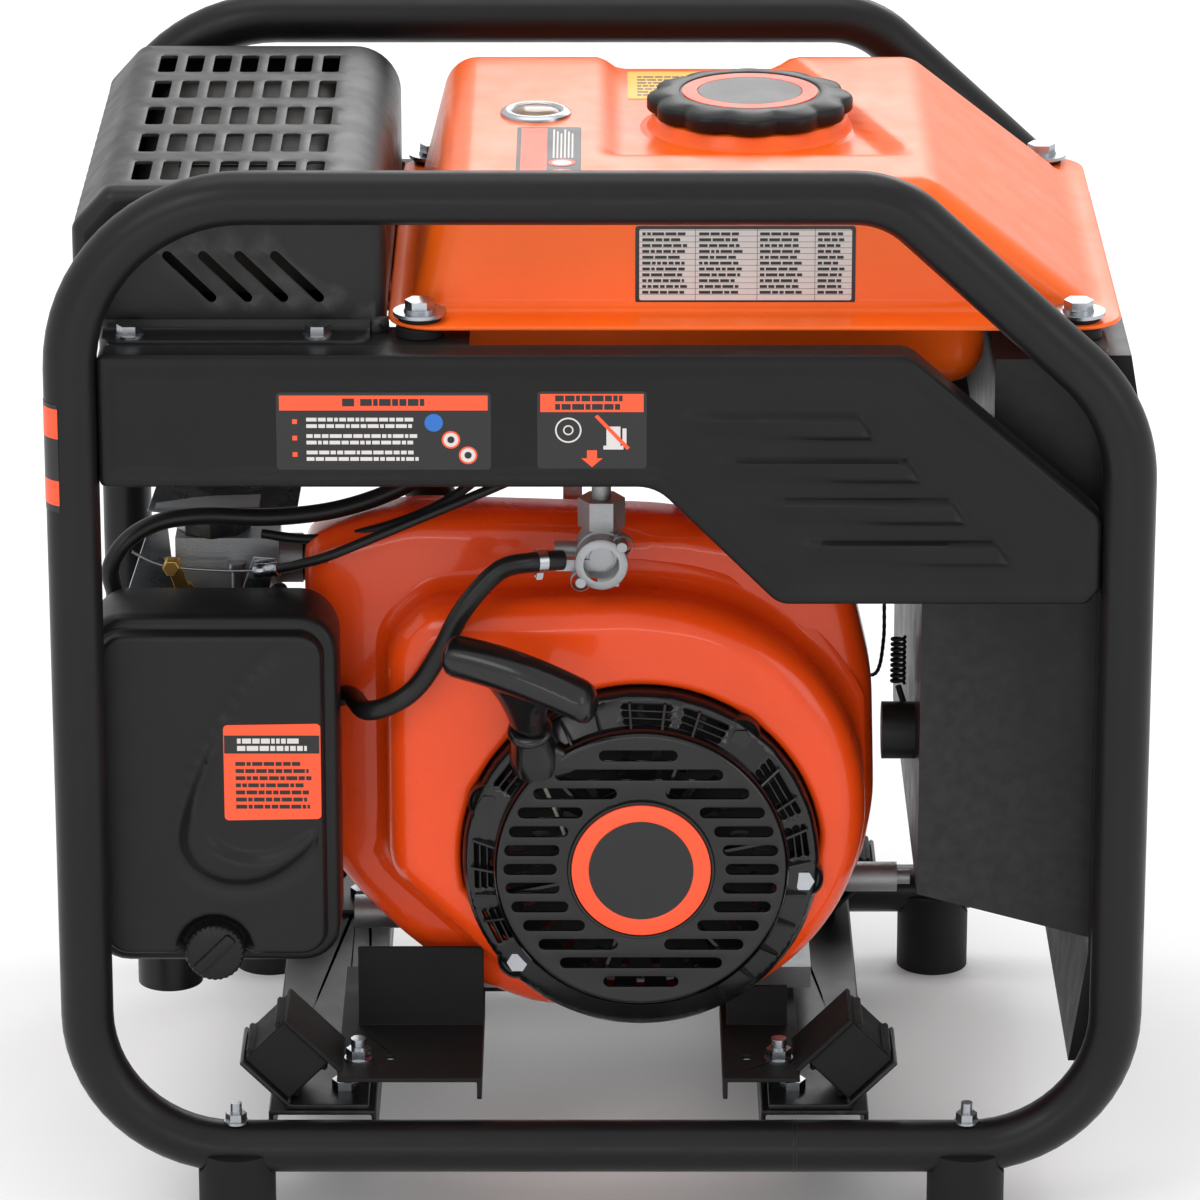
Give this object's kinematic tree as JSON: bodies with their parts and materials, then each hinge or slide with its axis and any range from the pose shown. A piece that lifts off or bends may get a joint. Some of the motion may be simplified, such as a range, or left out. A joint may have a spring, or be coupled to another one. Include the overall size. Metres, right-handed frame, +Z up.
{
  "type": "portable generator",
  "caption": "Open-frame petrol generator: tube hoops, recoil-start engine, alternator, top fuel tank, muffler guard, air cleaner and side outlet panel.",
  "frame": {"origin": "middle of the footprint at floor level, under the rubber feet", "axes": "+Z up, +X towards the outlet panel, -Y towards the recoil starter"},
  "size_m": [0.556, 0.4, 0.5687],
  "materials": {
    "frame_paint": "satin",
    "tank_paint": "gloss",
    "shroud_paint": "gloss",
    "rubber": "matt",
    "zinc": "satin",
    "bare_steel": "satin",
    "cast_iron": "matt",
    "alloy": "cast",
    "laminations": "matt",
    "black_plastic": "matt",
    "gloss_black": "gloss",
    "badge": "satin",
    "ceramic": "gloss",
    "rope": "woven",
    "foam": "open cell foam",
    "brass": "satin",
    "meter_face": "gloss",
    "button_white": "satin",
    "switch_orange": "satin"
  },
  "bodies": {
    "frame": {"front_hoop": "frame_paint", "rear_hoop": "frame_paint", "base_rails": "frame_paint", "front_panel": "frame_paint", "rear_panel": "frame_paint", "rubber_feet": "rubber", "frame_bolts": "zinc", "mount_brackets": "frame_paint", "rubber_mounts": "rubber", "mount_arms": "frame_paint", "fuel_tank": "tank_paint", "tank_grommets": "rubber", "tank_bolts": "zinc", "fuel_gauge": "black_plastic", "fuel_valve": "zinc", "fuel_hose": "rubber", "muffler": "bare_steel", "muffler_guard": "frame_paint", "flange_bolts": "zinc", "exhaust_pipe": "bare_steel", "heat_baffle": "frame_paint", "crankcase": "alloy", "cylinder_head": "alloy", "valve_cover": "frame_paint", "spark_plug": "ceramic", "plug_cap": "rubber", "fan_shroud": "shroud_paint", "recoil_housing": "frame_paint", "recoil_badge": "badge", "starter_rope": "rope", "alternator_housing": "alloy", "alternator_stator": "laminations", "alternator_cover": "alloy", "air_box": "black_plastic", "air_box_cover": "black_plastic", "air_filter": "foam", "carburettor": "alloy", "intake_pipe": "black_plastic", "choke_cable": "rubber", "wiring_conduit": "rubber", "control_box": "frame_paint", "control_panel": "gloss_black", "outlet_sockets": "black_plastic", "voltmeter": "meter_face", "ground_terminal": "brass"},
    "crank": {"crankshaft": "bare_steel", "flywheel": "cast_iron", "alternator_rotor": "laminations"},
    "reel": {"recoil_reel": "black_plastic"},
    "handle": {"pull_handle": "black_plastic"},
    "cap_bayonet": {"cap_insert": "zinc"},
    "cap": {"fuel_cap": "black_plastic"},
    "tap_lever": {"fuel_valve_lever": "zinc"},
    "air_knob": {"air_box_knob": "black_plastic"},
    "choke_pull": {"choke_knob": "black_plastic"},
    "choke_arm": {"choke_lever": "brass"},
    "lid_front": {"socket_flap_front": "gloss_black"},
    "lid_rear": {"socket_flap_rear": "gloss_black"},
    "button": {"breaker_button": "button_white"},
    "switch": {"engine_switch": "switch_orange"}
  },
  "joints": [
    {"name": "crank_spin", "type": "hinge", "parent": "frame", "child": "crank", "pos_m": [0.0205, 0, 0.187], "axis": [0, 1, 0], "continuous": true},
    {"name": "handle_pull", "type": "slide", "parent": "frame", "child": "handle", "axis": [-0.1279, -0.4689, 0.8739], "range_m": [0, 0.5], "stiffness_N_per_m": 12, "springref_m": -0.4, "deforming": ["starter_rope"]},
    {"name": "reel_turn", "type": "hinge", "parent": "frame", "child": "reel", "pos_m": [0.0205, -0.133, 0.187], "axis": [0, 1, 0], "range_deg": [0, 870]},
    {"name": "cap_lift", "type": "slide", "parent": "frame", "child": "cap_bayonet", "axis": [0, 0, 1], "range_m": [0, 0.06]},
    {"name": "cap_turn", "type": "hinge", "parent": "cap_bayonet", "child": "cap", "pos_m": [0.077, 0, 0.555], "axis": [0, 0, 1], "range_deg": [0, 90]},
    {"name": "tap_turn", "type": "hinge", "parent": "frame", "child": "tap_lever", "pos_m": [0, -0.118, 0.351], "axis": [0, 1, 0], "range_deg": [-90, 0]},
    {"name": "air_knob_turn", "type": "hinge", "parent": "frame", "child": "air_knob", "pos_m": [-0.1995, -0.16, 0.146], "axis": [0, 1, 0], "range_deg": [0, 90]},
    {"name": "choke_slide", "type": "slide", "parent": "frame", "child": "choke_pull", "axis": [1, 0, 0], "range_m": [0, 0.02]},
    {"name": "choke_turn", "type": "hinge", "parent": "frame", "child": "choke_arm", "pos_m": [-0.216, -0.07, 0.3], "axis": [0, 1, 0], "range_deg": [0, 50.5]},
    {"name": "lid_front_turn", "type": "hinge", "parent": "frame", "child": "lid_front", "pos_m": [0.2685, -0.065, 0.266], "axis": [0, -1, 0], "range_deg": [0, 95], "stiffness_Nm_per_rad": 0.02, "springref_deg": -17.19},
    {"name": "lid_rear_turn", "type": "hinge", "parent": "frame", "child": "lid_rear", "pos_m": [0.2685, 0.025, 0.266], "axis": [0, -1, 0], "range_deg": [0, 95], "stiffness_Nm_per_rad": 0.02, "springref_deg": -17.19},
    {"name": "button_push", "type": "slide", "parent": "frame", "child": "button", "axis": [-1, 0, 0], "range_m": [0, 0.004], "stiffness_N_per_m": 300, "springref_m": -0.002},
    {"name": "switch_turn", "type": "hinge", "parent": "frame", "child": "switch", "pos_m": [0.262, 0.082, 0.372], "axis": [1, 0, 0], "range_deg": [0, 60]}
  ],
  "couplings": [
    {"joint": "reel_turn", "follows": "handle_pull", "rad_per_m": 30.303},
    {"joint": "choke_turn", "follows": "choke_slide", "rad_per_m": 44}
  ]
}
